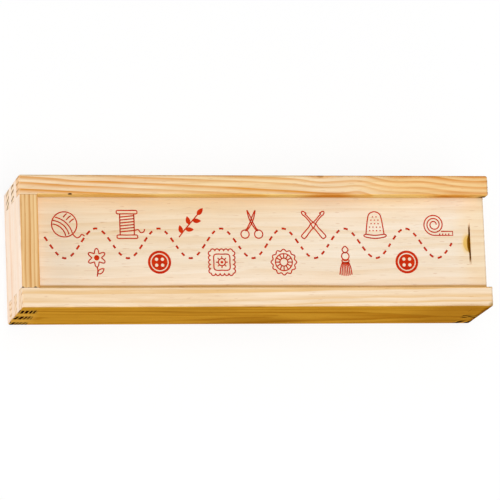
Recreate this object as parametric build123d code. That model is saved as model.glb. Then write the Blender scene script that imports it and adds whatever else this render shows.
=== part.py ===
from build123d import *
import math
import os

# Crochet hook box: a long pine box with finger-jointed corners and a lid that slides out
# at the right-hand end. Sizes are in millimetres.
# Frame: +X along the box towards the end where the lid comes out, +Y to the rear, +Z up.
# The origin is the middle of the underside.

# Overall size
box_length = 200.0
box_width = 56.0
box_height = 42.0

# Pine boards
side_thickness = 8.4
end_thickness = 7.8
finger_pitch = 7.0          # nominal height of one finger, evened out over the height
outer_rounding = 1.0        # outside edges and corners, sanded after the glue-up
rim_easing = 0.35           # inner edges of the rim

# Sliding lid
lid_thickness = 4.0
lid_recess = 5.6            # from the rim down to the lid's face
groove_depth = 4.0          # into the side boards and the left end board
lid_side_clearance = 0.25   # lid edge to groove bottom, each side
lid_face_clearance = 0.2    # above and below the lid in its groove
lid_tail_gap = 0.4          # lid's left edge to the groove bottom when shut
lid_end_inset = 1.0         # lid's right edge short of the box's end
lid_end_rounding = 0.8      # upper edge at the right end
lid_easing = 0.3            # the lid's other edges

# Thumb notch in the lid: a straight stop cut and a scoop that slopes down to it
notch_length = 18.4         # along Y
notch_kerf = 0.8            # width of the stop cut along X
notch_depth = 2.0
notch_inset = 6.7           # middle of the stop cut to the lid's right edge
scoop_radius = 7.4
scoop_reach = 2.9           # from the stop cut to the scoop's tip
scoop_depth = 1.8

# Plywood bottom in a rebate
bottom_thickness = 3.0
bottom_lap = 4.0            # how far the bottom reaches under the boards
bottom_gap = 0.1            # around the bottom's edge
bottom_corner_radius = 3.5  # left by the rebate cutter

# Panel pins that hold the bottom
pin_diameter = 1.2
pin_length = 12.0
pin_point = 1.5
pin_head_diameter = 2.2
pin_head_thickness = 0.5
pin_sink = 0.2              # head below the underside
pin_fit = 0.03              # radial play of pin and hole
pins_per_side = 4
pins_per_end = 1
pin_end_margin = 14.0       # from a board's inner end to the first pin

# Places worked out from the sizes above
half_length = box_length / 2
half_width = box_width / 2
inner_x = half_length - end_thickness
inner_y = half_width - side_thickness
finger_units = 2 * max(1, round(box_height / (2 * finger_pitch)))
finger_height = box_height / finger_units
lid_top = box_height - lid_recess
lid_bottom = lid_top - lid_thickness
low_end_top = lid_bottom - lid_face_clearance
lid_left = -inner_x - groove_depth + lid_tail_gap
lid_right = half_length - lid_end_inset
lid_half_width = inner_y + groove_depth - lid_side_clearance


def block(x_low, x_high, y_low, y_high, z_low, z_high):
    """A box between two corners."""
    size = (x_high - x_low, y_high - y_low, z_high - z_low)
    centre = ((x_low + x_high) / 2, (y_low + y_high) / 2, (z_low + z_high) / 2)
    return Pos(*centre) * Box(*size)


def outer_envelope():
    """The sanded outside of the glued box, which every board is trimmed to."""
    whole = block(-half_length, half_length, -half_width, half_width, 0, box_height)
    return fillet(whole.edges(), outer_rounding)


def finger_levels(top_limit):
    """Low and high Z of the end boards' fingers that lie whole below top_limit.

    Counted from the top, the side boards own the odd levels and the end boards the even ones.
    """
    levels = []
    for unit in range(1, finger_units, 2):
        z_high = box_height - unit * finger_height
        if z_high <= top_limit:
            levels.append((z_high - finger_height, z_high))
    return levels


def lid_channel():
    """The space that the lid runs in, open at the right-hand end."""
    reach = inner_y + groove_depth
    return block(-inner_x - groove_depth, half_length + outer_rounding, -reach, reach,
                 low_end_top, lid_top + lid_face_clearance)


def bottom_outline(gap):
    """The bottom's rounded outline, drawn in by a gap."""
    length = 2 * (inner_x + bottom_lap - gap)
    width = 2 * (inner_y + bottom_lap - gap)
    return RectangleRounded(length, width, bottom_corner_radius - gap)


def bottom_rebate():
    """What the rebate takes out of the boards."""
    return extrude(bottom_outline(0), bottom_thickness)


def rim_easing_cut():
    """A shallow flared tray that breaks the rim's inner edges."""
    c = rim_easing
    tray = block(-inner_x - c, half_length + c, -inner_y - c, inner_y + c,
                 box_height - c, box_height + c)
    return chamfer(tray.edges().group_by(Axis.Z)[0], c)


def mouth_easing_cut():
    """A flared plug that breaks the upright inner edges where the lid comes out."""
    c = rim_easing
    plug = block(half_length - c, half_length + c, -inner_y - c, inner_y + c,
                 lid_top, box_height + c)
    return chamfer(plug.edges().filter_by(Axis.Z).group_by(Axis.X)[0], c)


def pin_places():
    """Middles of the pins along the four boards."""
    side_line = inner_y + bottom_lap / 2
    end_line = inner_x + bottom_lap / 2
    first_x = -inner_x + pin_end_margin
    spacing = -2 * first_x / (pins_per_side - 1)
    places = []
    for i in range(pins_per_side):
        x = first_x + i * spacing
        places += [(x, -side_line), (x, side_line)]
    for i in range(pins_per_end):
        y = -inner_y + 2 * inner_y * (i + 1) / (pins_per_end + 1)
        places += [(-end_line, y), (end_line, y)]
    return places


def pin_shape(play):
    """One pin, point up, grown by a radial play to make its hole."""
    shank = pin_diameter / 2 + play
    head = pin_head_diameter / 2 + play
    low = pin_sink if play == 0 else 0
    tip = pin_sink + pin_length + play
    outline = Polyline(
        (0, low),
        (head, low),
        (head, pin_sink + pin_head_thickness + play),
        (shank, pin_sink + pin_head_thickness + play),
        (shank, tip - pin_point),
        (0, tip),
        close=True,
    )
    return revolve(Plane.XZ * make_face(outline), Axis.Z)


def at_pin_places(shape):
    """A copy of the shape at every pin."""
    return [Pos(x, y, 0) * shape for x, y in pin_places()]


def trim(board):
    """Cuts that every board of the glued box gets."""
    board = board - lid_channel() - bottom_rebate() - rim_easing_cut() - mouth_easing_cut()
    board = board & outer_envelope()
    for hole in at_pin_places(pin_shape(pin_fit)):
        board = board - hole
    return board


def side_board(side):
    """A long board; side is -1 at the front and +1 at the rear."""
    y_low, y_high = sorted((side * inner_y, side * half_width))
    board = block(-half_length, half_length, y_low, y_high, 0, box_height)
    for end, top_limit in ((-1, box_height), (1, low_end_top)):
        x_low, x_high = sorted((end * inner_x, end * half_length))
        for z_low, z_high in finger_levels(top_limit):
            board = board - block(x_low, x_high, y_low, y_high, z_low, z_high)
    return trim(board)


def top_edge(board, place):
    """The board's upper edge along Y; place is 0 for the left one and -1 for the right one."""
    return board.edges().filter_by(Axis.Y).group_by(Axis.Z)[-1].sort_by(Axis.X)[place]


def with_fingers(board, x_low, x_high, top):
    """An end board's middle with its fingers, trimmed to the box."""
    for z_low, z_high in finger_levels(top):
        board = board + block(x_low, x_high, -half_width, half_width, z_low, z_high)
    return trim(board)


def left_end_board():
    """The full-height short board that the shut lid runs into."""
    board = block(-half_length, -inner_x, -inner_y, inner_y, 0, box_height)
    return with_fingers(board, -half_length, -inner_x, box_height)


def right_end_board():
    """The low short board that the lid slides out over, its upper edges eased."""
    board = block(inner_x, half_length, -inner_y, inner_y, 0, low_end_top)
    board = fillet([top_edge(board, -1)], outer_rounding)
    board = chamfer([top_edge(board, 0)], rim_easing)
    return with_fingers(board, inner_x, half_length, low_end_top)


def thumb_notch():
    """What the thumb notch takes out of the lid."""
    wall_x = lid_right - notch_inset
    half = notch_length / 2
    disc_radius = (half ** 2 + notch_depth ** 2) / (2 * notch_depth)
    stop_cut = Pos(wall_x, 0, lid_top + disc_radius - notch_depth) * (
        Rot(0, 90, 0) * Cylinder(disc_radius, notch_kerf))
    slope = math.atan2(scoop_depth, scoop_reach)
    tip_x = wall_x - scoop_reach
    axis_x = tip_x + scoop_radius * math.sin(slope)
    axis_z = lid_top + scoop_radius * math.cos(slope)
    gouge_length = 4 * scoop_radius
    gouge = Pos(axis_x, 0, axis_z) * (
        Rot(0, 90 + math.degrees(slope), 0) * Cylinder(scoop_radius, gouge_length))
    left_of_wall = block(tip_x - scoop_reach, wall_x, -half, half,
                         lid_top - notch_depth, lid_top + scoop_radius)
    return stop_cut + (gouge & left_of_wall)


def sliding_lid():
    """The lid, shut."""
    lid = block(lid_left, lid_right, -lid_half_width, lid_half_width, lid_bottom, lid_top)
    end_edge = lid.edges().filter_by(Axis.Y).group_by(Axis.Z)[-1].sort_by(Axis.X)[-1]
    lid = fillet([end_edge], lid_end_rounding)
    corners = lid.edges().filter_by(Axis.Z).group_by(Axis.X)[0]
    lid = fillet(corners, lid_end_rounding)
    lower = lid.faces().sort_by(Axis.Z)[0]
    lid = chamfer(lower.edges(), lid_easing)
    return lid - thumb_notch()


def bottom_panel():
    """The plywood bottom with its pin holes."""
    panel = extrude(bottom_outline(bottom_gap), bottom_thickness)
    for hole in at_pin_places(pin_shape(pin_fit)):
        panel = panel - hole
    return panel


def bottom_pins():
    """All the pins, as separate solids."""
    return Compound(children=at_pin_places(pin_shape(0)))


pieces = {
    "front_side_board": side_board(-1),
    "rear_side_board": side_board(1),
    "left_end_board": left_end_board(),
    "right_end_board": right_end_board(),
    "sliding_lid": sliding_lid(),
    "bottom_panel": bottom_panel(),
    "bottom_pins": bottom_pins(),
}

os.makedirs("parts", exist_ok=True)
for node, shape in pieces.items():
    export_step(shape, f"parts/{node}.step")
    print(node, round(shape.volume, 1))
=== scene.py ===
import math

import bmesh
import bpy
from mathutils import Matrix, Vector


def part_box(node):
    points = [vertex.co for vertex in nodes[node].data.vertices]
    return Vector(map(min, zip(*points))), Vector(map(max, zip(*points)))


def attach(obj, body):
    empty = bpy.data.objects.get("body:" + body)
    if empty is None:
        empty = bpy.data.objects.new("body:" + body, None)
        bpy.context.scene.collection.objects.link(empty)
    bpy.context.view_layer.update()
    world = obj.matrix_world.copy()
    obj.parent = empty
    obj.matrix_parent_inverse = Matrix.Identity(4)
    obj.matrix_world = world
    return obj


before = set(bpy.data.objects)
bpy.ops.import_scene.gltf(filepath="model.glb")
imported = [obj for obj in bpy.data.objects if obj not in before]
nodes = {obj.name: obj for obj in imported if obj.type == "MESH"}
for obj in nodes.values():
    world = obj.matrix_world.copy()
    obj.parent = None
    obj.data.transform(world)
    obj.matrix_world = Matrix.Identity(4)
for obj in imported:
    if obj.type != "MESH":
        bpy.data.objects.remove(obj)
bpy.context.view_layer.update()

scene = bpy.context.scene
millimetre = 0.001
print("frame loaded:", ", ".join(sorted(nodes)))


def cornersInMillimetres(node):
    low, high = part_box(node)
    return low / millimetre, high / millimetre


# the box's own places, in mm, which the finishes and the print follow
frontLow, frontHigh = cornersInMillimetres("front_side_board")
leftHigh = cornersInMillimetres("left_end_board")[1]
lidHigh = cornersInMillimetres("sliding_lid")[1]
bottomLow, bottomHigh = cornersInMillimetres("bottom_panel")
halfLength = -frontLow.x
halfWidth = -frontLow.y
boxHeight = frontHigh.z
innerX = -leftHigh.x      # inner faces of the end boards
innerY = -frontHigh.y     # inner faces of the side boards
fingerCount = 6           # finger levels in the box's height
fingerHeight = boxHeight / fingerCount


# camera: far off with a long lens, it looks down on the box from the front left
cameraSettings = {
    "aim": (-3.51, -3.91, boxHeight),   # mm, on the plane of the rim
    "tiltBack": 11.017,                 # degrees away from looking straight down
    "tiltLeft": 11.288,
    "turn": -2.21,
    "distance": 1.8494,                 # metres
    "lens": 320.0,                      # mm
    "sensor": 36.0,                     # mm
    "nearest": 0.05,                    # metres
    "furthest": 30.0,
}


def makeCamera(settings):
    data = bpy.data.cameras.new("camera")
    data.lens = settings["lens"]
    data.sensor_width = settings["sensor"]
    data.clip_start = settings["nearest"]
    data.clip_end = settings["furthest"]
    camera = bpy.data.objects.new("camera", data)
    scene.collection.objects.link(camera)
    turns = (settings["tiltBack"], -settings["tiltLeft"], settings["turn"])
    camera.rotation_euler = [math.radians(v) for v in turns]
    backward = camera.rotation_euler.to_matrix() @ Vector((0, 0, 1))
    camera.location = Vector(settings["aim"]) * millimetre + backward * settings["distance"]
    scene.camera = camera


makeCamera(cameraSettings)
print("camera placed")


def tint(red, green, blue):
    # a colour as it looks on a screen, 0 to 255, to what shaders take
    def linear(v):
        v /= 255
        return v / 12.92 if v <= 0.04045 else ((v + 0.055) / 1.055) ** 2.4
    return (linear(red), linear(green), linear(blue), 1.0)


class Bench:
    # one material in the making: each call adds a node and hands back what comes out of it

    def __init__(self, name):
        self.material = bpy.data.materials.new(name)
        self.material.use_nodes = True
        self.tree = self.material.node_tree
        self.tree.nodes.clear()
        self.shader = self.tree.nodes.new("ShaderNodeBsdfPrincipled")
        output = self.tree.nodes.new("ShaderNodeOutputMaterial")
        self.feed(output.inputs["Surface"], self.shader.outputs[0])
        self.spots = self.tree.nodes.new("ShaderNodeTexCoord")

    def feed(self, socket, value):
        if isinstance(value, bpy.types.NodeSocket):
            self.tree.links.new(value, socket)
        else:
            socket.default_value = value

    def finish(self, **settings):
        for name, value in settings.items():
            self.feed(self.shader.inputs[name.replace("_", " ")], value)
        return self.material

    def maths(self, operation, *values):
        node = self.tree.nodes.new("ShaderNodeMath")
        node.operation = operation
        for socket, value in zip(node.inputs, values):
            self.feed(socket, value)
        return node.outputs[0]

    def plus(self, first, second):
        return self.maths("ADD", first, second)

    def minus(self, first, second):
        return self.maths("SUBTRACT", first, second)

    def times(self, first, second):
        return self.maths("MULTIPLY", first, second)

    def size(self, value):
        return self.maths("ABSOLUTE", value)

    def ease(self, value, low, high, lowOut=0.0, highOut=1.0):
        # runs smoothly from lowOut to highOut while the value runs from low to high
        node = self.tree.nodes.new("ShaderNodeMapRange")
        node.interpolation_type = "SMOOTHSTEP"
        for socket, v in zip(node.inputs, (value, low, high, lowOut, highOut)):
            self.feed(socket, v)
        return node.outputs[0]

    def vector(self, x, y, z):
        node = self.tree.nodes.new("ShaderNodeCombineXYZ")
        for socket, value in zip(node.inputs, (x, y, z)):
            self.feed(socket, value)
        return node.outputs[0]

    def split(self, vector):
        node = self.tree.nodes.new("ShaderNodeSeparateXYZ")
        self.feed(node.inputs[0], vector)
        return node.outputs[0], node.outputs[1], node.outputs[2]

    def vectorMaths(self, operation, *values):
        node = self.tree.nodes.new("ShaderNodeVectorMath")
        node.operation = operation
        for socket, value in zip(node.inputs, values):
            self.feed(socket, value)
        return node.outputs["Value" if operation == "LENGTH" else "Vector"]

    def noise(self, place, grainSize, detail=2.0, roughness=0.5, colour=False):
        # grainSize is the length of one blotch along each axis, in the unit of place
        scaled = self.vectorMaths("DIVIDE", place, grainSize)
        node = self.tree.nodes.new("ShaderNodeTexNoise")
        self.feed(node.inputs["Vector"], scaled)
        self.feed(node.inputs["Scale"], 1.0)
        self.feed(node.inputs["Detail"], detail)
        self.feed(node.inputs["Roughness"], roughness)
        return node.outputs["Color" if colour else 0]

    def lineNoise(self, value, length):
        node = self.tree.nodes.new("ShaderNodeTexNoise")
        node.noise_dimensions = "1D"
        self.feed(node.inputs["W"], self.times(value, 1 / length))
        self.feed(node.inputs["Scale"], 1.0)
        self.feed(node.inputs["Detail"], 1.0)
        return node.outputs[0]

    def chance(self, value):
        # one even random number for each whole number
        node = self.tree.nodes.new("ShaderNodeTexWhiteNoise")
        node.noise_dimensions = "1D"
        self.feed(node.inputs["W"], value)
        return node.outputs["Value"]

    def mix(self, share, first, second, blend="MIX"):
        node = self.tree.nodes.new("ShaderNodeMix")
        node.data_type = "RGBA"
        node.blend_type = blend
        self.feed(node.inputs[0], share)
        self.feed(node.inputs[6], first)
        self.feed(node.inputs[7], second)
        return node.outputs[2]

    def stain(self, share, colour, tone):
        return self.mix(share, colour, tint(*tone), blend="MULTIPLY")

    def sway(self, noise, reach):
        # swings evenly about nought instead of about a half
        return self.times(self.minus(noise, 0.5), reach)

    def spread(self, place, middle, reach):
        # distance from the middle, as a share of the reach along each axis
        offset = self.vectorMaths("SUBTRACT", place, middle)
        return self.vectorMaths("LENGTH", self.vectorMaths("DIVIDE", offset, reach))

    def bump(self, height, depth):
        # depth is in mm
        node = self.tree.nodes.new("ShaderNodeBump")
        self.feed(node.inputs["Height"], height)
        self.feed(node.inputs["Distance"], depth * millimetre)
        return node.outputs[0]

    def place(self):
        return self.vectorMaths("DIVIDE", self.spots.outputs["Object"], (millimetre,) * 3)

    def facing(self):
        return self.split(self.spots.outputs["Normal"])


# values of a noise that it runs between: most of them, and the middle ones
wideSpan = (0.3, 0.7)
midSpan = (0.35, 0.65)


# pine: every board is cut from its own log, so its rings run through it as solid grain
pineDefaults = {
    "grain": "x",                  # the way the fibres run
    "seed": 0,
    "pith": (-70.0, 20.0),         # mm across the board and up, where the log's middle ran
    "lean": (0.0, 0.0),            # drift of the middle per mm along the grain, across and up
    "ringWidth": 3.0,              # mm
    "unevenRings": 0.5,            # how much the ring widths differ
    "wander": 1.0,                 # mm that the rings stray from their circles
    "ripple": 0.3,                 # mm of small waves in them
    "lateStart": 0.5,              # share of a ring before the dark wood sets in
    "lateEnd": 0.95,               # and where it starts to fade again
    "lateStrength": 1.0,
    "clouding": 0.3,               # strength of broad darker streaks
    "early": (247, 216, 176),      # edges and narrow faces
    "late": (222, 166, 100),
    "flatEarly": (247, 216, 176),  # wide faces
    "flatLate": (222, 166, 100),
    "flatSide": 0,                 # -1 or 1 gives those colours to the wide face on that side only
    "endEarly": (226, 186, 138),   # ends across the grain
    "endLate": (170, 128, 88),
    "endStart": 0.45,              # the same as lateStart for them
    "endFull": 0.93,               # and where they are darkest
    "fibreDepth": 0.3,             # how strongly the fibres show
    "rimShadeTone": (226, 190, 140),    # painted shade that darkens the eased inner edge of the rim
    "swirls": [],                  # (place, reach, push), all in mm
    "colourAndShadeSpots": [],                   # knots and other spots of colour, and spots of painted shade: (place, size, colour)
    "patches": [],                 # (place, reach, tone): tone patches, and patches of painted shade
}

# what all the boards share; each Length is in mm along the grain, across it and up
everyBoard = {
    "seedShift": (211.0, 37.0, 13.0),    # mm for each seed: along, across, and in the rings
    "strayLength": (75.0, 16.0, 16.0),
    "straySwing": 4.0,                   # reach of the noise for each mm of wander
    "rippleLength": (34.0, 3.2, 3.2),
    "rippleSwing": 2.0,                  # and for each mm of ripple
    "unevenLength": 2.3,                 # ring widths
    "fadeLength": (60.0, 9.0, 9.0),
    "palestRing": 0.55,                  # share of the full strength
    "palestStretch": 0.6,
    "lateFull": 0.9,                     # share of a ring where its late wood is darkest
    "endFade": 0.95,                     # the same as lateEnd, for the ends
    "endStrength": (0.3, 0.6, 0.8, 1.0),   # pale rings stay nearly as dark across the grain
    "cloudLength": (55.0, 6.0, 6.0),
    "cloudSpan": (0.35, 0.7),
    "faceTurn": (0.5, 0.9),              # how squarely a face has to look outwards
    "endTurn": (0.55, 0.85),
    "patchFade": (0.3, 1.1),             # shares of a patch's reach
    "patchSwing": 1.2,                   # how ragged its edge is
    "spotFade": (0.6, 1.2),
    "fibreLength": (14.0, 0.45, 0.45),
    "streakLength": (30.0, 1.3, 1.3),
    "streakShare": 0.7,
    "fibreTint": (0.5, 0.8, 1.3),        # they change the blue most, so that dark ones are warm
    "fleckLength": (4.0, 0.3, 0.3),      # flecks of resin
    "fleckSpan": (0.74, 0.82),
    "fleckShare": 0.35,
    "fleckTone": (196, 140, 84),
    "glueShare": 0.55,
    "glueTone": (150, 96, 50),
    "dirtLength": (9.0, 9.0, 9.0),
    "dirtSpan": (0.4, 0.62),
    "dirtShare": 0.25,
    "dirtTone": (190, 160, 128),
    "roughness": (0.68, 0.8),
    "lateRoughness": -0.12,
    "lateRelief": 0.6,
    "fibreRelief": 0.5,
    "reliefDepth": 0.03,
}


def pineRings(bench, along, across, up, wood):
    # gives the place moved by the board's seed, how far it is through its ring, and how strong
    # that ring is there
    shiftAlong, shiftAcross, shiftRings = [wood["seed"] * step for step in everyBoard["seedShift"]]
    board = bench.vector(bench.plus(along, shiftAlong), bench.plus(across, shiftAcross), up)
    pithAcross, pithUp = wood["pith"]
    leanAcross, leanUp = wood["lean"]
    fromPithAcross = bench.minus(across, bench.maths("MULTIPLY_ADD", along, leanAcross, pithAcross))
    fromPithUp = bench.minus(up, bench.maths("MULTIPLY_ADD", along, leanUp, pithUp))
    stray = bench.noise(board, everyBoard["strayLength"], colour=True)
    strayAcross, strayUp = bench.split(stray)[:2]
    swing = everyBoard["straySwing"] * wood["wander"]
    bentAcross = bench.plus(fromPithAcross, bench.sway(strayAcross, swing))
    bentUp = bench.plus(fromPithUp, bench.sway(strayUp, swing))
    radius = bench.vectorMaths("LENGTH", bench.vector(0.0, bentAcross, bentUp))
    for spot, reach, push in wood["swirls"]:
        spread = bench.spread(bench.vector(along, across, up), spot, reach)
        swell = bench.maths("EXPONENT", bench.times(bench.times(spread, spread), -1.0))
        radius = bench.plus(radius, bench.times(swell, push))
    ripple = bench.noise(board, everyBoard["rippleLength"], detail=1.0)
    radius = bench.plus(radius, bench.sway(ripple, everyBoard["rippleSwing"] * wood["ripple"]))
    width = wood["ringWidth"]
    uneven = bench.lineNoise(bench.plus(radius, shiftRings), everyBoard["unevenLength"] * width)
    rings = bench.plus(bench.times(radius, 1 / width), bench.times(uneven, wood["unevenRings"]))
    chance = bench.chance(bench.maths("FLOOR", rings))
    strength = bench.ease(chance, 0.0, 1.0, everyBoard["palestRing"], 1.0)
    stretches = bench.noise(board, everyBoard["fadeLength"])
    fade = bench.ease(stretches, *midSpan, everyBoard["palestStretch"], 1.0)
    return board, bench.maths("FRACT", rings), bench.times(strength, fade)


def lateShare(bench, phase, start, full, end):
    # dark wood comes in slowly over a ring and ends sharply where the next year starts
    rise = bench.ease(phase, start, full)
    fall = bench.ease(phase, end, 1.0, 1.0, 0.0)
    return bench.times(rise, fall)


def innerRimShade(bench, x, y, z, normalZ):
    # the eased edge all along the inside of the rim, where painted shade darkens it
    easing, outerEdge = 0.5, 1.5   # mm
    steep, level = 0.88, 0.96      # upward part of the normal
    sloping = bench.ease(normalZ, steep, level, 1.0, 0.0)
    insideX = bench.maths("LESS_THAN", bench.size(x), halfLength - outerEdge)
    insideY = bench.maths("LESS_THAN", bench.size(y), innerY + easing)
    high = bench.maths("GREATER_THAN", z, boxHeight - easing)
    return bench.times(bench.times(sloping, high), bench.times(insideX, insideY))


def jointLines(bench, x, y, z, normalX, normalY, normalZ):
    # thin glue lines where the boards' fingers meet on the box's outside
    thin, soft = 0.05, 0.16    # mm from a joint where its line is full, and where it is gone
    skin, facing = 0.5, 0.7    # mm inside the box's faces, and how squarely a face looks outwards
    level = bench.maths("FRACT", bench.times(z, 1 / fingerHeight))
    fromLevel = bench.times(bench.minus(0.5, bench.size(bench.minus(level, 0.5))), fingerHeight)
    pairLevel = bench.maths("FRACT", bench.times(z, 0.5 / fingerHeight))
    sideOwns = bench.maths("GREATER_THAN", pairLevel, 0.5)   # every second finger is a side board's
    pastX = bench.minus(bench.size(x), innerX)
    pastY = bench.minus(bench.size(y), innerY)
    nearLevel = bench.ease(fromLevel, thin, soft, 1.0, 0.0)
    nearX = bench.ease(bench.size(pastX), thin, soft, 1.0, 0.0)
    nearY = bench.ease(bench.size(pastY), thin, soft, 1.0, 0.0)
    inCornerX = bench.maths("GREATER_THAN", pastX, 0.0)
    inCornerY = bench.maths("GREATER_THAN", pastY, 0.0)
    onFront = bench.times(
        bench.maths("GREATER_THAN", bench.size(normalY), facing),
        bench.maths("GREATER_THAN", bench.size(y), halfWidth - skin))
    onEnd = bench.times(
        bench.maths("GREATER_THAN", bench.size(normalX), facing),
        bench.maths("GREATER_THAN", bench.size(x), halfLength - skin))
    onTop = bench.times(bench.maths("GREATER_THAN", normalZ, facing), inCornerX)
    frontLines = bench.maths(
        "MAXIMUM", bench.times(nearLevel, inCornerX),
        bench.times(nearX, bench.minus(1.0, sideOwns)))
    endLines = bench.maths(
        "MAXIMUM", bench.times(nearLevel, inCornerY), bench.times(nearY, sideOwns))
    lines = bench.maths("MAXIMUM", bench.times(frontLines, onFront), bench.times(endLines, onEnd))
    return bench.maths("MAXIMUM", lines, bench.times(nearY, onTop))


def handledEdges(bench, x, y, z):
    # the outside edges, which handling has made a little greyer
    inner, outer = 1.3, 0.2   # mm inside the box's faces
    middle = boxHeight / 2
    nearX = bench.ease(bench.size(x), halfLength - inner, halfLength - outer)
    nearY = bench.ease(bench.size(y), halfWidth - inner, halfWidth - outer)
    nearZ = bench.ease(bench.size(bench.minus(z, middle)), middle - inner, middle - outer)
    edges = bench.plus(bench.times(nearX, nearY), bench.times(bench.plus(nearX, nearY), nearZ))
    return bench.maths("MINIMUM", edges, 1.0)


def pineMaterial(name, **changes):
    wood = {**pineDefaults, **changes}
    bench = Bench(name)
    place = bench.place()
    x, y, z = bench.split(place)
    normalX, normalY, normalZ = bench.facing()
    if wood["grain"] == "x":
        along, across = x, y
        alongNormal, acrossNormal = normalX, normalY
    else:
        along, across = y, x
        alongNormal, acrossNormal = normalY, normalX
    board, phase, strength = pineRings(bench, along, across, z, wood)

    late = lateShare(bench, phase, wood["lateStart"], everyBoard["lateFull"], wood["lateEnd"])
    late = bench.times(bench.times(late, strength), wood["lateStrength"])
    clouds = bench.noise(board, everyBoard["cloudLength"], detail=3.0)
    late = bench.plus(late, bench.ease(clouds, *everyBoard["cloudSpan"], 0.0, wood["clouding"]))
    late = bench.maths("MINIMUM", late, 1.0)
    # wide faces take their own colours; on some boards these carry painted shade or painted light
    # as well as the wood's tone
    if wood["flatSide"]:
        outward = bench.times(acrossNormal, wood["flatSide"])
    else:
        outward = bench.size(acrossNormal)
    edgeGrain = bench.mix(late, tint(*wood["early"]), tint(*wood["late"]))
    flatGrain = bench.mix(late, tint(*wood["flatEarly"]), tint(*wood["flatLate"]))
    colour = bench.mix(bench.ease(outward, *everyBoard["faceTurn"]), edgeGrain, flatGrain)
    for spot, reach, patchTone in wood["patches"]:
        ragged = bench.plus(
            bench.spread(place, spot, reach), bench.sway(clouds, everyBoard["patchSwing"]))
        share = bench.ease(ragged, *everyBoard["patchFade"], 1.0, 0.0)
        colour = bench.stain(share, colour, patchTone)

    endShare = lateShare(bench, phase, wood["endStart"], wood["endFull"], everyBoard["endFade"])
    endShare = bench.times(endShare, bench.ease(strength, *everyBoard["endStrength"]))
    endGrain = bench.mix(endShare, tint(*wood["endEarly"]), tint(*wood["endLate"]))
    onEnd = bench.ease(bench.size(alongNormal), *everyBoard["endTurn"])
    colour = bench.mix(onEnd, colour, endGrain)

    # spots of the wood's own colour, and spots of painted shade
    for spot, size, spotTone in wood["colourAndShadeSpots"]:
        spotShare = bench.ease(bench.spread(place, spot, size), *everyBoard["spotFade"], 1.0, 0.0)
        colour = bench.mix(spotShare, colour, tint(*spotTone))

    fibre = bench.noise(board, everyBoard["fibreLength"], detail=4.0, roughness=0.6)
    streak = bench.noise(board, everyBoard["streakLength"])
    grey = bench.plus(bench.sway(fibre, 1.0), bench.sway(streak, everyBoard["streakShare"]))
    depths = [wood["fibreDepth"] * share for share in everyBoard["fibreTint"]]
    light = [bench.maths("MULTIPLY_ADD", grey, depth, 1.0) for depth in depths]
    colour = bench.mix(1.0, colour, bench.vector(*light), blend="MULTIPLY")
    resin = bench.noise(board, everyBoard["fleckLength"], detail=0.0)
    flecks = bench.ease(resin, *everyBoard["fleckSpan"], 0.0, everyBoard["fleckShare"])
    colour = bench.stain(flecks, colour, everyBoard["fleckTone"])
    # painted shade on the eased inner edge of the rim
    colour = bench.stain(innerRimShade(bench, x, y, z, normalZ), colour, wood["rimShadeTone"])
    lines = jointLines(bench, x, y, z, normalX, normalY, normalZ)
    glue = bench.times(lines, everyBoard["glueShare"])
    colour = bench.stain(glue, colour, everyBoard["glueTone"])
    blotches = bench.noise(place, everyBoard["dirtLength"], detail=3.0)
    dirt = bench.times(handledEdges(bench, x, y, z), bench.ease(blotches, *everyBoard["dirtSpan"]))
    colour = bench.stain(bench.times(dirt, everyBoard["dirtShare"]), colour, everyBoard["dirtTone"])

    relief = bench.plus(
        bench.times(late, everyBoard["lateRelief"]), bench.times(fibre, everyBoard["fibreRelief"]))
    roughness = bench.plus(
        bench.ease(fibre, *wideSpan, *everyBoard["roughness"]),
        bench.times(late, everyBoard["lateRoughness"]))
    return bench.finish(Base_Color=colour, Roughness=roughness, Specular_IOR_Level=0.0,
                        Normal=bench.bump(relief, everyBoard["reliefDepth"]))


# rear board: strong orange ring lines, wavy figure towards the right
rearPine = {
    "seed": 3,
    "pith": (-62.0, 36.0),
    "lean": (-0.05, 0.01),
    "ringWidth": 2.6,
    "unevenRings": 0.9,
    "wander": 0.7,
    "lateStart": 0.2,
    "lateEnd": 0.84,
    "early": (253, 226, 186),
    "late": (226, 148, 54),
    # golden wide faces, darker than the top edge: partly the wood's tone, partly painted shade of
    # the inner face above the lid
    "flatEarly": (240, 206, 130),
    "flatLate": (228, 170, 78),
    "endEarly": (250, 234, 216),
    "endLate": (132, 102, 62),
    "endStart": 0.5,
    "endFull": 0.85,
    "fibreDepth": 0.6,
    "rimShadeTone": (255, 250, 228),
    "swirls": [((60.0, halfWidth + 4.0, boxHeight), (8.0, 9.0, 16.0), 2.2),
               ((92.0, halfWidth + 8.0, boxHeight), (17.0, 15.0, 16.0), 4.0),
               ((44.0, halfWidth - 6.0, boxHeight), (6.0, 5.0, 10.0), -1.4),
               ((27.0, halfWidth - 0.5, boxHeight), (7.0, 4.0, 8.0), 1.6)],
    # two small knots, and paler end grain on the top finger at the left
    "colourAndShadeSpots": [((27.8, halfWidth - 0.5, boxHeight - 0.4), (1.7, 0.8, 0.9), (206, 150, 88)),
              ((-78.6, innerY + 0.1, boxHeight - 0.2), (0.95, 0.5, 0.7), (56, 30, 8)),
              ((-halfLength - 3.0, halfWidth - 4.0, boxHeight - 2.0), (3.7, 16.0, 10.0),
               (238, 192, 142))],
    "patches": [((32.0, innerY, boxHeight - 3.0), (16.0, 3.0, 4.0), (228, 184, 132)),
                ((86.0, innerY, boxHeight - 3.0), (12.0, 3.0, 4.0), (228, 184, 132)),
                ((82.0, halfWidth - 3.0, boxHeight), (46.0, 12.0, 2.6), (255, 240, 208)),
                ((-9.0, halfWidth - 4.0, boxHeight), (42.0, 12.0, 2.6), (255, 253, 240)),
                # painted shade at the open end of the lid's groove, on the inner face
                ((halfLength - 0.6, innerY, lidHigh.z + 0.6), (4.0, 1.6, 3.6), (116, 88, 40))],
}

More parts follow.
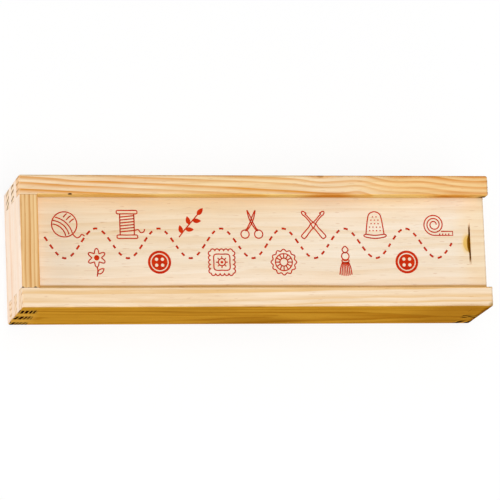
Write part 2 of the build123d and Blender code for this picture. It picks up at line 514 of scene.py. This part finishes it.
# painted shade: the rounded right front corner, turned away from the light, is darker on both the
# boards that meet there
paintedCornerShade = ((halfLength, -halfWidth, 16.0), (2.6, 2.6, 80.0), (188, 170, 108))

# front board: pale, soft wide bands on its edge, honey-coloured outer face, whose dark gold is
# partly the wood's tone and partly painted shade
frontPine = {
    "seed": 8,
    "pith": (8.0, 17.0),
    "lean": (0.03, 0.02),
    "ringWidth": 2.5,
    "unevenRings": 0.9,
    "wander": 1.0,
    "lateStart": 0.3,
    "lateStrength": 0.9,
    "clouding": 0.35,
    "early": (253, 228, 196),
    "late": (242, 200, 142),
    # the outer face's honey colours: partly the wood's tone, partly painted shade
    "flatEarly": (217, 167, 56),
    "flatLate": (185, 130, 31),
    "flatSide": -1,
    "endEarly": (252, 234, 214),
    "endLate": (226, 192, 156),
    "fibreDepth": 0.42,
    "rimShadeTone": (255, 246, 220),
    "swirls": [((-80.0, -halfWidth, 10.0), (26.0, 8.0, 9.0), 1.1)],
    # painted shade at the end of the lid's groove on the rim, and paler wood between the fingers at
    # the left
    "colourAndShadeSpots": [((halfLength - 1.3, -innerY - 0.2, boxHeight), (0.45, 0.35, 0.5), (186, 156, 116)),
              ((-halfLength + 1.0, -halfWidth - 0.5, 14.0), (9.5, 1.0, 28.0), (226, 178, 76))],
    # painted shade: the outer face darkens towards its right end, away from the light
    "patches": [((halfLength - 8.0, -halfWidth, 16.0), (30.0, 1.5, 60.0), (228, 218, 200)),
                ((5.0, -halfWidth, 8.0), (28.0, 1.5, 12.0), (228, 220, 200)),
                ((-26.0, -halfWidth, 34.0), (26.0, 1.5, 12.0), (240, 236, 228)),
                paintedCornerShade],
}

# left end board: close rings on its top edge, pale outer face partly painted light, golden finger
# ends partly painted shade, with dark dashes
leftPine = {
    "grain": "y",
    "seed": 5,
    "pith": (-299.8, 33.0),
    "lean": (0.012, 0.0),
    "ringWidth": 1.6,
    "unevenRings": 0.6,
    "wander": 0.3,
    "lateStart": 0.4,
    "early": (246, 208, 150),
    "late": (204, 134, 60),
    # pale outer face: partly the wood's tone, partly painted light
    "flatEarly": (255, 246, 242),
    "flatLate": (248, 224, 206),
    "flatSide": -1,
    # golden finger ends: partly the end grain's tone, partly painted shade like the front's outer
    # face
    "endEarly": (232, 182, 76),
    "endLate": (26, 2, 0),
    "endStart": 0.03,
    "endFull": 0.45,
    "rimShadeTone": (255, 224, 170),
    # dark specks along the joint with the front board: painted shade in small gaps of the joint
    "colourAndShadeSpots": [((-halfLength + 0.6, -innerY + 0.1, boxHeight), (0.6, 0.4, 0.5), (40, 22, 8)),
              ((-halfLength + 5.9, -innerY + 0.1, boxHeight), (0.65, 0.4, 0.5), (40, 22, 8)),
              ((-halfLength + 3.1, -innerY, boxHeight), (0.3, 0.2, 0.3), (90, 56, 24))],
}

# right end board: its rings cross the ends of its fingers aslant, in dark wavy marks
rightPine = {
    "grain": "y",
    "seed": 11,
    "pith": (123.0, -10.0),
    "ringWidth": 3.4,
    "unevenRings": 0.8,
    "wander": 0.9,
    "ripple": 0.9,
    "lateStart": 0.4,
    "early": (248, 218, 176),
    "late": (226, 174, 108),
    "flatEarly": (250, 224, 188),
    "flatLate": (232, 188, 132),
    # golden finger ends: partly the end grain's tone, partly painted shade like the front's outer
    # face
    "endEarly": (214, 160, 52),
    "endLate": (26, 4, 0),
    "endStart": 0.1,
    "endFull": 0.66,
    "patches": [paintedCornerShade],
}

# lid: pale with faint wavy bands, darker along its long edges: a broad band at the rear, and narrow
# strips of painted shade where the rim shades it
lidPine = {
    "seed": 14,
    "pith": (-64.0, -14.0),
    "lean": (0.012, 0.0),
    "ringWidth": 3.4,
    "unevenRings": 1.2,
    "wander": 2.2,
    "lateStart": 0.2,
    "lateStrength": 0.6,
    "early": (255, 239, 217),
    "late": (243, 214, 175),
    "flatEarly": (255, 239, 217),
    "flatLate": (243, 214, 175),
    "endEarly": (240, 206, 160),
    "endLate": (214, 166, 110),
    "fibreDepth": 0.24,
    # the golden scoop of the thumb notch, partly its cut wood's tone and partly painted shade, and
    # painted shade in its dark stop cut
    "colourAndShadeSpots": [((lidHigh.x - 8.1, 0.0, lidHigh.z - 0.9), (2.7, 5.8, 1.3), (255, 212, 118)),
              ((lidHigh.x - 6.65, 0.0, lidHigh.z - 1.5), (0.95, 11.3, 1.3), (150, 98, 4))],
    "patches": [((0.0, innerY + 0.4, lidHigh.z), (130.0, 9.0, 6.0), (246, 240, 228)),
                ((-66.0, 12.0, lidHigh.z), (110.0, 24.0, 12.0), (250, 245, 236)),
                ((lidHigh.x, 0.0, lidHigh.z), (13.0, 60.0, 12.0), (255, 248, 234)),
                # painted shade: narrow strips along the front and rear edges, where the rim shades
                # the lid
                ((0.0, -innerY + 1.1, lidHigh.z), (400.0, 1.15, 3.0), (214, 184, 132)),
                ((0.0, innerY + 0.2, lidHigh.z), (400.0, 0.6, 3.0), (238, 212, 160))],
}


# bottom: birch plywood of three plies, flame-figured on its faces
plywood = {
    "plies": 3,
    "light": (236, 212, 174),
    "dark": (214, 180, 134),
    "pore": (182, 140, 96),
    "middlePly": (196, 156, 108),
    "glue": (120, 84, 54),
    "flameLength": (48.0, 7.0, 3.0),   # mm
    "flameBands": 9.0,
    "bandSpan": (0.1, 0.95),
    "bandShare": 0.5,
    "poreLength": (4.0, 0.3, 0.3),     # mm
    "poreSpan": (0.56, 0.74),
    "poreShare": 0.45,
    "poreDepth": 0.02,
    "plyEdge": (0.42, 0.5),            # plies from the middle one's centre
    "glueEdge": (0.03, 0.08),          # plies from a glue line
    "edgeTurn": (0.4, 0.7),            # how squarely a face has to look up or down
    "roughness": (0.62, 0.76),
    "gloss": 0.2,
}


def plywoodMaterial(name):
    bench = Bench(name)
    place = bench.place()
    flame = bench.noise(place, plywood["flameLength"], detail=3.0)
    bands = bench.maths("FRACT", bench.times(flame, plywood["flameBands"]))
    pores = bench.noise(place, plywood["poreLength"], detail=3.0)
    banded = bench.ease(bands, *plywood["bandSpan"], 0.0, plywood["bandShare"])
    colour = bench.mix(banded, tint(*plywood["light"]), tint(*plywood["dark"]))
    porous = bench.ease(pores, *plywood["poreSpan"], 0.0, plywood["poreShare"])
    colour = bench.stain(porous, colour, plywood["pore"])
    # the plies show on the edges: the middle one is end-on and darker, between two glue lines
    z = bench.split(place)[2]
    plies = plywood["plies"]
    ply = bench.times(bench.minus(z, bottomLow.z), plies / (bottomHigh.z - bottomLow.z))
    fromMiddle = bench.size(bench.minus(ply, plies / 2))
    middle = bench.ease(fromMiddle, *plywood["plyEdge"], 1.0, 0.0)
    glue = bench.ease(bench.size(bench.minus(fromMiddle, 0.5)), *plywood["glueEdge"], 1.0, 0.0)
    edge = bench.mix(middle, colour, tint(*plywood["middlePly"]))
    edge = bench.mix(glue, edge, tint(*plywood["glue"]))
    normalZ = bench.facing()[2]
    onEdge = bench.ease(bench.size(normalZ), *plywood["edgeTurn"], 1.0, 0.0)
    colour = bench.mix(onEdge, colour, edge)
    return bench.finish(Base_Color=colour,
                        Roughness=bench.ease(pores, *wideSpan, *plywood["roughness"]),
                        Specular_IOR_Level=plywood["gloss"],
                        Normal=bench.bump(pores, plywood["poreDepth"]))


# pins: drawn steel wire, dull in places
pinSteel = {
    "bright": (206, 205, 202),
    "dull": (156, 150, 142),
    "drawnLength": (0.12, 0.12, 3.0),   # mm
    "drawnDepth": 0.005,
    "dullLength": (0.8, 0.8, 0.8),      # mm
    "dullSpan": (0.35, 0.7),
    "roughness": (0.24, 0.4),
    "rougherSpan": (0.4, 0.7),
    "rougher": 0.15,                    # where the wire is dull
}


def steelMaterial(name):
    bench = Bench(name)
    place = bench.place()
    drawn = bench.noise(place, pinSteel["drawnLength"])
    dull = bench.noise(place, pinSteel["dullLength"], detail=3.0)
    dulled = bench.ease(dull, *pinSteel["dullSpan"])
    colour = bench.mix(dulled, tint(*pinSteel["bright"]), tint(*pinSteel["dull"]))
    roughness = bench.plus(bench.ease(drawn, *wideSpan, *pinSteel["roughness"]),
                           bench.ease(dull, *pinSteel["rougherSpan"], 0.0, pinSteel["rougher"]))
    return bench.finish(Base_Color=colour, Metallic=1.0, Roughness=roughness,
                        Normal=bench.bump(drawn, pinSteel["drawnDepth"]))


# ink: one red, and the wood's fibres show through it as paler streaks
redInk = {
    "deep": (198, 38, 2),
    "bright": (214, 54, 6),
    "worn": (226, 120, 52),
    "blotchLength": (3.0, 2.0, 2.0),   # mm
    "fibreLength": (9.0, 0.3, 1.0),    # mm
    "fibreSpan": (0.58, 0.78),
    "fibreShare": 0.4,
    "fibreDepth": 0.01,
    "roughness": (0.55, 0.72),
    "gloss": 0.05,
}


def inkMaterial(name):
    bench = Bench(name)
    place = bench.place()
    fibre = bench.noise(place, redInk["fibreLength"], detail=4.0, roughness=0.6)
    blotch = bench.noise(place, redInk["blotchLength"])
    colour = bench.mix(bench.ease(blotch, *midSpan), tint(*redInk["deep"]), tint(*redInk["bright"]))
    worn = bench.ease(fibre, *redInk["fibreSpan"], 0.0, redInk["fibreShare"])
    colour = bench.mix(worn, colour, tint(*redInk["worn"]))
    return bench.finish(Base_Color=colour,
                        Roughness=bench.ease(fibre, *wideSpan, *redInk["roughness"]),
                        Specular_IOR_Level=redInk["gloss"],
                        Normal=bench.bump(fibre, redInk["fibreDepth"]))


def finishNode(node, material):
    for slot in nodes[node].material_slots:
        slot.material = material


finishNode("rear_side_board", pineMaterial("rear_pine", **rearPine))
finishNode("front_side_board", pineMaterial("front_pine", **frontPine))
finishNode("left_end_board", pineMaterial("left_pine", **leftPine))
finishNode("right_end_board", pineMaterial("right_pine", **rightPine))
finishNode("sliding_lid", pineMaterial("lid_pine", **lidPine))
finishNode("bottom_panel", plywoodMaterial("birch_plywood"))
finishNode("bottom_pins", steelMaterial("pin_steel"))
print("boards, bottom and pins finished")


# the lid's print: plain needlework motifs in one ink, set above and below a wavy running stitch
printSettings = {
    "lineWidth": 0.52,         # mm
    "stitchWidth": 0.85,
    "inkHeight": 0.04,         # mm above the wood
    "firstMotif": -80.5,       # mm along the lid
    "spacing": 13.2,
    "motifOffset": 8.0,        # mm above or below the middle line
    "waveHeight": 6.3,
    "waveStart": -89.0,
    "waveEnd": 85.5,
    "stitchLength": 2.3,
    "stitchGap": 1.5,
    "pointStep": 0.45,         # mm between the points of a curve
    "walkStep": 0.15,          # mm along the lid by which the wave is followed
    "dashStep": 0.4,           # mm between the points of a stitch
    "weldDistance": 0.001,     # mm, closes the ends of the lines
}


def arc(centreX, centreY, radius, start, end):
    # points along part of a circle, angles in degrees
    sweep = math.radians(end - start)
    count = max(4, math.ceil(abs(sweep) * radius / printSettings["pointStep"]))
    first = math.radians(start)
    angles = [first + sweep * i / count for i in range(count + 1)]
    return [(centreX + radius * math.cos(a), centreY + radius * math.sin(a)) for a in angles]


def circle(centreX, centreY, radius):
    return arc(centreX, centreY, radius, 0, 360)[:-1]


def rosette(radius, swell, lobes, turn=0.0):
    # a closed wavy outline with evenly spaced lobes
    count = math.ceil(2 * math.pi * (radius + lobes * swell / 2) / printSettings["pointStep"])
    points = []
    for i in range(count):
        angle = 2 * math.pi * i / count
        r = radius + swell * math.cos(lobes * (angle - turn))
        points.append((r * math.cos(angle), r * math.sin(angle)))
    return points


def smoothed(corners, closed=False):
    # an even curve through the given points, as a Catmull-Rom spline
    ring = list(corners)
    if closed:
        ring = [ring[-1]] + ring + ring[:2]
    else:
        ring = [ring[0]] + ring + [ring[-1]]
    points = []
    for p0, p1, p2, p3 in zip(ring, ring[1:], ring[2:], ring[3:]):
        count = max(1, math.ceil(math.dist(p1, p2) / printSettings["pointStep"]))
        for i in range(count):
            t = i / count
            points.append(tuple(
                0.5 * (2 * b + (c - a) * t + (2 * a - 5 * b + 4 * c - d) * t ** 2
                       + (3 * b - a - 3 * c + d) * t ** 3)
                for a, b, c, d in zip(p0, p1, p2, p3)))
    if not closed:
        points.append(tuple(corners[-1]))
    return points


def turned(points, degrees):
    c, s = math.cos(math.radians(degrees)), math.sin(math.radians(degrees))
    return [(x * c - y * s, x * s + y * c) for x, y in points]


def shifted(points, shiftX, shiftY):
    return [(x + shiftX, y + shiftY) for x, y in points]


def mirrored(points):
    return [(-x, y) for x, y in points]


def leaf(length, width):
    # a pointed oval from (0, 0) along +Y
    right = [(0, 0), (width * 0.42, length * 0.25), (width * 0.5, length * 0.5),
             (width * 0.3, length * 0.8)]
    left = mirrored(reversed(right[1:]))
    return smoothed(right + [(0, length)]) + smoothed([(0, length)] + left + [(0, 0)])[1:-1]


# each motif gives its closed lines, its open lines and its filled outlines, in mm about its middle
def yarnBall():
    radius, margin = 5.3, 0.3
    frontWraps, frontMiddle, gap = (6.2, 7.7, 9.2), (-5.6, -6.0), 0.8
    backWraps, backMiddle = (4.3, 6.0, 7.7), (5.8, -1.6)

    def inBall(points):
        return [p for p in points if math.hypot(*p) < radius - margin]

    wraps = [inBall(arc(*frontMiddle, reach, -30, 120)) for reach in frontWraps]
    for reach in backWraps:
        wound = inBall(arc(*backMiddle, reach, 90, 200))
        wraps.append([p for p in wound if math.dist(p, frontMiddle) > frontWraps[-1] + gap])
    tail = smoothed([(3.4, -4.1), (5.0, -5.6), (6.4, -5.2), (7.2, -4.2), (8.4, -4.9)])
    return [circle(0, 0, radius)], [p for p in wraps if len(p) > 2] + [tail], []


def button():
    holes = [circle(sx * 1.25, sy * 1.25, 0.72) for sx in (-1, 1) for sy in (-1, 1)]
    return [], [], [circle(0, 0, 4.9), circle(0, 0, 3.85), circle(0, 0, 3.4)] + holes


def spool():
    flange = smoothed([(-4.0, 4.5), (-4.3, 5.2), (-4.0, 5.9), (0, 5.9), (4.0, 5.9), (4.3, 5.2),
                       (4.0, 4.5), (0, 4.5)], closed=True)
    lower = [(x, -y) for x, y in flange]
    sides = [[(side * 3.0, 4.5), (side * 3.0, -4.5)] for side in (-1, 1)]
    threads = [[(-3.0, 3.1 - 1.25 * i), (3.0, 3.7 - 1.25 * i)] for i in range(6)]
    tail = smoothed([(3.0, -2.6), (4.6, -2.2), (5.6, -3.4), (6.9, -3.2), (7.4, -1.9)])
    return [flange, lower], sides + threads + [tail], []


def flower():
    petals = shifted(rosette(3.0, 0.95, 6, math.pi / 6), 0, 1.9)
    eye = circle(0, 1.9, 1.15)
    stem = smoothed([(0.1, -2.0), (0.3, -3.6), (0, -6.0)])
    blade = shifted(turned(leaf(3.4, 1.7), -52), 0.25, -4.8)
    return [petals, blade], [stem], [eye]


def leafSprig():
    stem = smoothed([(-4.6, -5.4), (-2.2, -2.4), (0.4, 0.6), (3.4, 4.0)])
    slant = -40
    leaves = [shifted(turned(leaf(4.0, 2.0), slant), 3.3, 3.9)]
    for share, side in ((0.18, 1), (0.36, -1), (0.54, 1), (0.72, -1)):
        base = stem[int(share * len(stem))]
        leaves.append(shifted(turned(leaf(3.7, 1.9), slant + side * 52), *base))
    return [], [stem], leaves


def grannySquare():
    reach, scallops = 4.7, 5
    step = 2 * reach / scallops
    edge = []
    for quarter in range(4):
        side = []
        for i in range(scallops):
            side += arc(reach - step * (i + 0.5), reach, step / 2, 0, 180)[:-1]
        edge += turned(side, 90 * quarter)
    inner = smoothed([(0, 3.4), (-3.1, 3.1), (-3.4, 0), (-3.1, -3.1), (0, -3.4), (3.1, -3.1),
                      (3.4, 0), (3.1, 3.1)], closed=True)
    spokes = [turned([(1.5, 0), (2.5, 0)], 45 * i) for i in range(8)]
    return [edge, inner, circle(0, 0, 1.5)], spokes, [circle(0, 0, 0.6)]


def scissors():
    blade = smoothed([(-2.1, -2.6), (-0.6, -0.6), (0.9, 2.4), (1.7, 6.0), (0.2, 3.0), (-0.7, 0.7),
                      (-1.9, -1.6), (-2.7, -2.4)], closed=True)
    grip = circle(-2.9, -4.1, 1.75)
    return [blade, mirrored(blade), grip, mirrored(grip)], [], [circle(0, 0.2, 0.42)]


def doily():
    spokes = [turned([(1.7, 0), (3.5, 0)], 30 * i) for i in range(12)]
    return [rosette(5.1, 0.38, 12), circle(0, 0, 3.6), circle(0, 0, 1.7)], spokes, []


def hookPair():
    grip = [(0.55, -7.3), (0.95, -6.6), (0.8, -2.4), (1.0, -0.9), (0.75, 0.4), (0.42, 2.0)]
    hook = [(0.42, 5.0), (0.7, 5.9), (0.5, 6.9), (0, 7.3), (-0.5, 6.9), (-0.75, 6.0), (-0.95, 5.5),
            (-0.3, 5.6), (-0.42, 4.6)]
    one = smoothed(grip + hook + mirrored(reversed(grip)), closed=True)
    return [turned(one, -40), turned(mirrored(one), 40)], [], []


def tapeRoll():
    turns, inner, outer, middleX = 2.75, 1.0, 4.6, -0.8
    count = 90
    spiral = []
    for i in range(count + 1):
        share = i / count
        angle = -2 * math.pi * turns * (1 - share) - math.pi / 2
        radius = inner + (outer - inner) * share
        spiral.append((radius * math.cos(angle) + middleX, radius * math.sin(angle)))
    tongue = [(7.2, -outer), (7.2, -outer + 1.7), (2.2, -outer + 1.7)]
    ticks = [[(1.6 + 1.3 * i, -outer), (1.6 + 1.3 * i, -outer + 0.8)] for i in range(4)]
    return [], [spiral + tongue] + ticks, []


def thimble():
    left = [(-3.9, -4.2), (-3.5, -1.0), (-3.0, 2.2), (-2.2, 4.6)]
    wall = smoothed(left + [(0, 5.5)] + mirrored(reversed(left)))
    band = smoothed([(-4.2, -4.2), (0, -4.6), (4.2, -4.2), (4.4, -5.2), (0, -5.9), (-4.4, -5.2)],
                    closed=True)
    dots = []
    for row, count in ((-2.6, 4), (-1.1, 4), (0.4, 3), (1.9, 3), (3.3, 2)):
        dots += [circle((i - (count - 1) / 2) * 1.5, row, 0.33) for i in range(count)]
    return [band], [wall], dots


def tassel():
    loop = smoothed([(0, 3.9), (-1.3, 5.2), (0, 6.7), (1.3, 5.2)], closed=True)
    head = circle(0, 2.5, 1.6)
    band = smoothed([(-1.4, 0.9), (0, 0.6), (1.4, 0.9), (1.4, 0.1), (0, -0.2), (-1.4, 0.1)],
                    closed=True)
    strands = []
    for i in range(-3, 4):
        share = i / 3
        hem = -5.9 + 0.5 * share ** 2
        strands.append(smoothed([(share * 1.3, 0.0), (share * 2.1, -2.2), (share * 2.6, hem)]))
    return [loop, head, band], strands, []


motifOrder = [yarnBall, flower, spool, button, leafSprig, grannySquare, scissors, doily, hookPair,
              tassel, thimble, button, tapeRoll]


def wavePoint(x):
    # the wave passes below a motif of the upper row and above one of the lower row
    angle = math.pi * (x - printSettings["firstMotif"]) / printSettings["spacing"]
    return (x, -printSettings["waveHeight"] * math.cos(angle))


def runningStitch():
    settings = printSettings
    stitches, stitch, travelled = [], [], 0.0
    step = settings["walkStep"]
    cycle = settings["stitchLength"] + settings["stitchGap"]
    count = round((settings["waveEnd"] - settings["waveStart"]) / step)
    last = wavePoint(settings["waveStart"])
    for i in range(count + 1):
        point = wavePoint(settings["waveStart"] + i * step)
        travelled += math.dist(last, point)
        last = point
        if travelled % cycle < settings["stitchLength"]:
            if not stitch or math.dist(stitch[-1], point) > settings["dashStep"]:
                stitch.append(point)
        elif stitch:
            stitches.append(stitch)
            stitch = []
    return [s for s in stitches if len(s) > 2]


def flatMesh(name, splines, width, filled):
    # lines become thin rounded ribbons of ink, filled outlines become thin plates with holes
    curve = bpy.data.curves.new(name, "CURVE")
    curve.dimensions = "2D" if filled else "3D"
    for points, closed in splines:
        spline = curve.splines.new("POLY")
        spline.points.add(len(points) - 1)
        for point, (x, y) in zip(spline.points, points):
            point.co = (x, y, 0, 1)
        spline.use_cyclic_u = closed
    if filled:
        curve.fill_mode = "BOTH"
        curve.extrude = width / 2
    else:
        curve.bevel_depth = width / 2
        curve.bevel_resolution = 1
        curve.use_fill_caps = True
    drawn = bpy.data.objects.new(name, curve)
    mesh = bpy.data.meshes.new_from_object(drawn)
    bpy.data.objects.remove(drawn)
    bpy.data.curves.remove(curve)
    return mesh


def printedPiece(name, width, closedLines, openLines, filledShapes, ink):
    lines = [(p, True) for p in closedLines] + [(p, False) for p in openLines]
    shape = bmesh.new()
    if lines:
        shape.from_mesh(flatMesh("lines", lines, width, filled=False))
    for face in shape.faces:
        face.smooth = True
    for outlines in filledShapes:
        shape.from_mesh(flatMesh("filled", [(p, True) for p in outlines], width, filled=True))
    bmesh.ops.remove_doubles(shape, verts=shape.verts, dist=printSettings["weldDistance"])
    # flattened to the ink's height, with its lower half let into the wood's surface
    squash = 2 * printSettings["inkHeight"] / width
    toLid = Matrix.Translation((0, 0, lidHigh.z * millimetre)) @ Matrix.Diagonal(
        (millimetre, millimetre, millimetre * squash, 1))
    bmesh.ops.transform(shape, matrix=toLid, verts=shape.verts)
    bmesh.ops.recalc_face_normals(shape, faces=shape.faces)
    mesh = bpy.data.meshes.new(name)
    shape.to_mesh(mesh)
    shape.free()
    piece = bpy.data.objects.new(name, mesh)
    piece.data.materials.append(ink)
    scene.collection.objects.link(piece)
    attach(piece, "lid")


def printLid():
    ink = inkMaterial("red_ink")
    closedLines, openLines, filledShapes = [], [], []
    for i, motif in enumerate(motifOrder):
        centreX = printSettings["firstMotif"] + i * printSettings["spacing"]
        centreY = printSettings["motifOffset"] * (1 if i % 2 == 0 else -1)
        closed, lines, filled = [
            [shifted(p, centreX, centreY) for p in part] for part in motif()]
        closedLines += closed
        openLines += lines
        if filled:
            filledShapes.append(filled)
    width = printSettings["lineWidth"]
    printedPiece("print_motifs", width, closedLines, openLines, filledShapes, ink)
    printedPiece("print_stitches", printSettings["stitchWidth"], [], runningStitch(), [], ink)


printLid()
print("lid printed:", len(motifOrder), "motifs")


# studio: white surroundings, a large soft lamp overhead, others low at the left and the front
studio = {
    "ambient": 0.30,
    "floorSize": 8.0,                  # metres
    "floorDrop": 0.0001,
    "floorGlow": 0.86,                 # near the box, and full white further off
    "glowStart": 0.3,                  # metres from the box's middle
    "glowFull": 0.7,
    "floorShown": (110, 110, 110),     # what the floor's own shading adds near the box
    "floorBounce": (226, 196, 142),    # the colour that it throws back on the box
    # direction from the box, distance and size in metres, power in watts
    "lamps": [
        ("key_lamp", (0.12, -0.12, 0.98), 1.5, 1.6, 15.1),
        ("left_lamp", (-0.98, 0.05, 0.14), 1.5, 1.0, 12.7),
        ("front_lamp", (0.10, -0.98, 0.13), 1.5, 1.0, 6.5),
    ],
}


def makeLamp(name, direction, distance, size, power):
    data = bpy.data.lights.new(name, "AREA")
    data.shape = "DISK"
    data.size = size
    data.energy = power
    lamp = bpy.data.objects.new(name, data)
    toLamp = Vector(direction).normalized()
    lamp.location = toLamp * distance
    lamp.rotation_euler = (-toLamp).to_track_quat("-Z", "Y").to_euler()
    lamp.visible_camera = False
    scene.collection.objects.link(lamp)


def backgroundRays(tree):
    # 1 for what the camera sees, straight or through gloss and glass
    rays = tree.nodes.new("ShaderNodeLightPath")
    total = rays.outputs["Is Camera Ray"]
    for kind in ("Is Glossy Ray", "Is Transmission Ray"):
        adding = tree.nodes.new("ShaderNodeMath")
        adding.operation = "MAXIMUM"
        tree.links.new(total, adding.inputs[0])
        tree.links.new(rays.outputs[kind], adding.inputs[1])
        total = adding.outputs[0]
    return total


def makeWorld():
    world = bpy.data.worlds.new("studio_white")
    world.use_nodes = True
    tree = world.node_tree
    tree.nodes.clear()
    output = tree.nodes.new("ShaderNodeOutputWorld")
    background = tree.nodes.new("ShaderNodeBackground")
    background.inputs["Color"].default_value = (1, 1, 1, 1)
    level = tree.nodes.new("ShaderNodeMapRange")
    level.inputs["To Min"].default_value = studio["ambient"]
    level.inputs["To Max"].default_value = 1.0
    tree.links.new(backgroundRays(tree), level.inputs["Value"])
    tree.links.new(level.outputs[0], background.inputs["Strength"])
    tree.links.new(background.outputs[0], output.inputs["Surface"])
    scene.world = world


def makeFloor():
    bench = Bench("pale_floor")
    tree = bench.tree
    tree.nodes.remove(bench.shader)
    output = next(n for n in tree.nodes if n.type == "OUTPUT_MATERIAL")
    shown = backgroundRays(tree)
    # the glow fills up to white away from the box, so that only the box's own shadow shows
    away = bench.vectorMaths("LENGTH", bench.spots.outputs["Object"])
    level = bench.ease(away, studio["glowStart"], studio["glowFull"], studio["floorGlow"], 1.0)
    glow = bench.times(level, shown)
    diffuse = tree.nodes.new("ShaderNodeBsdfDiffuse")
    floorColour = bench.mix(shown, tint(*studio["floorBounce"]), tint(*studio["floorShown"]))
    bench.feed(diffuse.inputs["Color"], floorColour)
    emission = tree.nodes.new("ShaderNodeEmission")
    bench.feed(emission.inputs["Strength"], glow)
    both = tree.nodes.new("ShaderNodeAddShader")
    tree.links.new(diffuse.outputs[0], both.inputs[0])
    tree.links.new(emission.outputs[0], both.inputs[1])
    tree.links.new(both.outputs[0], output.inputs["Surface"])
    half = studio["floorSize"] / 2
    mesh = bpy.data.meshes.new("floor")
    corners = [(-half, -half, 0), (half, -half, 0), (half, half, 0), (-half, half, 0)]
    mesh.from_pydata(corners, [], [(0, 1, 2, 3)])
    mesh.materials.append(bench.material)
    floor = bpy.data.objects.new("floor", mesh)
    floor.location.z = -studio["floorDrop"]
    scene.collection.objects.link(floor)


for lampValues in studio["lamps"]:
    makeLamp(*lampValues)
makeWorld()
makeFloor()
scene.view_settings.view_transform = "Standard"
print("studio lit")
